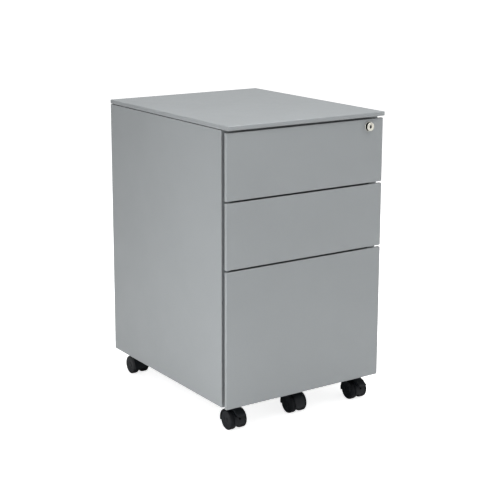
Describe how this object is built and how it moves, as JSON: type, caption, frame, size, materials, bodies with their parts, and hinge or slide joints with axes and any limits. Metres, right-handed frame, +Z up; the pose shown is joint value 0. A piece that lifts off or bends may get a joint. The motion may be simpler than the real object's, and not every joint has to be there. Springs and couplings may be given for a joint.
{
  "type": "rolling pedestal cabinet",
  "caption": "Steel under-desk pedestal on castors: box drawers over a filing drawer, full-overlay fronts with side finger channels and a cam lock.",
  "frame": {"origin": "on the floor under the middle of the cabinet", "axes": "+Z up, drawers open towards -Y, +X to the right seen from the front"},
  "size_m": [0.38, 0.4652, 0.615],
  "materials": {
    "silver_paint": "satin powder coat",
    "zinc_steel": "zinc plated",
    "nickel": "satin nickel plate",
    "tray_plastic": "moulded",
    "castor_nylon": "moulded nylon"
  },
  "bodies": {
    "carcass": {"top_panel": "silver_paint", "top_plate": "silver_paint", "back_panel": "silver_paint", "base_tray": "silver_paint", "front_top_rail": "silver_paint", "left_side_panel": "silver_paint", "left_front_upright": "silver_paint", "left_rear_upright": "silver_paint", "right_side_panel": "silver_paint", "right_front_upright": "silver_paint", "right_rear_upright": "silver_paint", "top_drawer_left_cabinet_slide": "zinc_steel", "top_drawer_right_cabinet_slide": "zinc_steel", "middle_drawer_left_cabinet_slide": "zinc_steel", "middle_drawer_right_cabinet_slide": "zinc_steel", "file_drawer_left_cabinet_slide": "zinc_steel", "file_drawer_right_cabinet_slide": "zinc_steel", "corner_castor_plates": "zinc_steel"},
    "lock_bar": {"lock_bar": "zinc_steel"},
    "top_drawer": {"top_drawer_face": "silver_paint", "top_drawer_inner_front": "silver_paint", "top_drawer_box": "silver_paint", "top_drawer_left_drawer_slide": "zinc_steel", "top_drawer_right_drawer_slide": "zinc_steel", "pen_tray": "tray_plastic", "lock_barrel": "nickel", "lock_clip": "zinc_steel"},
    "top_drawer_middle_slides": {"top_drawer_left_middle_slide": "zinc_steel", "top_drawer_right_middle_slide": "zinc_steel"},
    "middle_drawer": {"middle_drawer_face": "silver_paint", "middle_drawer_inner_front": "silver_paint", "middle_drawer_box": "silver_paint", "middle_drawer_left_drawer_slide": "zinc_steel", "middle_drawer_right_drawer_slide": "zinc_steel"},
    "middle_drawer_middle_slides": {"middle_drawer_left_middle_slide": "zinc_steel", "middle_drawer_right_middle_slide": "zinc_steel"},
    "file_drawer": {"file_drawer_face": "silver_paint", "file_drawer_inner_front": "silver_paint", "file_drawer_box": "silver_paint", "file_drawer_left_drawer_slide": "zinc_steel", "file_drawer_right_drawer_slide": "zinc_steel", "hanging_file_rails": "zinc_steel", "middle_castor_bracket": "zinc_steel", "middle_castor_plate": "zinc_steel"},
    "file_drawer_middle_slides": {"file_drawer_left_middle_slide": "zinc_steel", "file_drawer_right_middle_slide": "zinc_steel"},
    "lock_plug": {"lock_plug": "nickel", "lock_cam": "zinc_steel"},
    "front_left_castor": {"front_left_castor_hood": "castor_nylon"},
    "front_left_castor_wheels": {"front_left_castor_wheels": "castor_nylon"},
    "front_left_brake": {"front_left_brake_pedal": "castor_nylon"},
    "front_right_castor": {"front_right_castor_hood": "castor_nylon"},
    "front_right_castor_wheels": {"front_right_castor_wheels": "castor_nylon"},
    "front_right_brake": {"front_right_brake_pedal": "castor_nylon"},
    "rear_left_castor": {"rear_left_castor_hood": "castor_nylon"},
    "rear_left_castor_wheels": {"rear_left_castor_wheels": "castor_nylon"},
    "rear_right_castor": {"rear_right_castor_hood": "castor_nylon"},
    "rear_right_castor_wheels": {"rear_right_castor_wheels": "castor_nylon"},
    "middle_castor": {"middle_castor_hood": "castor_nylon"},
    "middle_castor_wheels": {"middle_castor_wheels": "castor_nylon"}
  },
  "joints": [
    {"name": "top_drawer_slide", "type": "slide", "parent": "carcass", "child": "top_drawer", "axis": [0, -1, 0], "range_m": [0, 0.38]},
    {"name": "top_drawer_middle_slides_slide", "type": "slide", "parent": "carcass", "child": "top_drawer_middle_slides", "axis": [0, -1, 0], "range_m": [0, 0.19]},
    {"name": "middle_drawer_slide", "type": "slide", "parent": "carcass", "child": "middle_drawer", "axis": [0, -1, 0], "range_m": [0, 0.38]},
    {"name": "middle_drawer_middle_slides_slide", "type": "slide", "parent": "carcass", "child": "middle_drawer_middle_slides", "axis": [0, -1, 0], "range_m": [0, 0.19]},
    {"name": "file_drawer_slide", "type": "slide", "parent": "carcass", "child": "file_drawer", "axis": [0, -1, 0], "range_m": [0, 0.38]},
    {"name": "file_drawer_middle_slides_slide", "type": "slide", "parent": "carcass", "child": "file_drawer_middle_slides", "axis": [0, -1, 0], "range_m": [0, 0.19]},
    {"name": "lock_turn", "type": "hinge", "parent": "top_drawer", "child": "lock_plug", "pos_m": [0.153, -0.2267, 0.5863], "axis": [0, -1, 0], "range_deg": [0, 90]},
    {"name": "lock_bar_lift", "type": "slide", "parent": "carcass", "child": "lock_bar", "axis": [0, 0, 1], "range_m": [0, 0.008]},
    {"name": "front_left_castor_swivel", "type": "hinge", "parent": "carcass", "child": "front_left_castor", "pos_m": [-0.153, -0.182, 0.05], "axis": [0, 0, 1], "continuous": true},
    {"name": "front_left_castor_roll", "type": "hinge", "parent": "front_left_castor", "child": "front_left_castor_wheels", "pos_m": [-0.153, -0.197, 0.02], "axis": [1, 0, 0], "continuous": true},
    {"name": "front_left_brake_press", "type": "hinge", "parent": "front_left_castor", "child": "front_left_brake", "pos_m": [-0.153, -0.1995, 0.0439], "axis": [1, 0, 0], "range_deg": [0, 7]},
    {"name": "front_right_castor_swivel", "type": "hinge", "parent": "carcass", "child": "front_right_castor", "pos_m": [0.153, -0.182, 0.05], "axis": [0, 0, 1], "continuous": true},
    {"name": "front_right_castor_roll", "type": "hinge", "parent": "front_right_castor", "child": "front_right_castor_wheels", "pos_m": [0.153, -0.197, 0.02], "axis": [1, 0, 0], "continuous": true},
    {"name": "front_right_brake_press", "type": "hinge", "parent": "front_right_castor", "child": "front_right_brake", "pos_m": [0.153, -0.1995, 0.0439], "axis": [1, 0, 0], "range_deg": [0, 7]},
    {"name": "rear_left_castor_swivel", "type": "hinge", "parent": "carcass", "child": "rear_left_castor", "pos_m": [-0.153, 0.182, 0.05], "axis": [0, 0, 1], "continuous": true},
    {"name": "rear_left_castor_roll", "type": "hinge", "parent": "rear_left_castor", "child": "rear_left_castor_wheels", "pos_m": [-0.153, 0.197, 0.02], "axis": [1, 0, 0], "continuous": true},
    {"name": "rear_right_castor_swivel", "type": "hinge", "parent": "carcass", "child": "rear_right_castor", "pos_m": [0.153, 0.182, 0.05], "axis": [0, 0, 1], "continuous": true},
    {"name": "rear_right_castor_roll", "type": "hinge", "parent": "rear_right_castor", "child": "rear_right_castor_wheels", "pos_m": [0.153, 0.197, 0.02], "axis": [1, 0, 0], "continuous": true},
    {"name": "middle_castor_swivel", "type": "hinge", "parent": "file_drawer", "child": "middle_castor", "pos_m": [0, -0.1753, 0.05], "axis": [0, 0, 1], "continuous": true},
    {"name": "middle_castor_roll", "type": "hinge", "parent": "middle_castor", "child": "middle_castor_wheels", "pos_m": [0, -0.1903, 0.02], "axis": [1, 0, 0], "continuous": true}
  ],
  "couplings": [
    {"joint": "top_drawer_middle_slides_slide", "follows": "top_drawer_slide", "ratio": 0.5},
    {"joint": "middle_drawer_middle_slides_slide", "follows": "middle_drawer_slide", "ratio": 0.5},
    {"joint": "file_drawer_middle_slides_slide", "follows": "file_drawer_slide", "ratio": 0.5},
    {"joint": "lock_turn", "follows": "lock_bar_lift", "rad_per_m": 196.35}
  ]
}
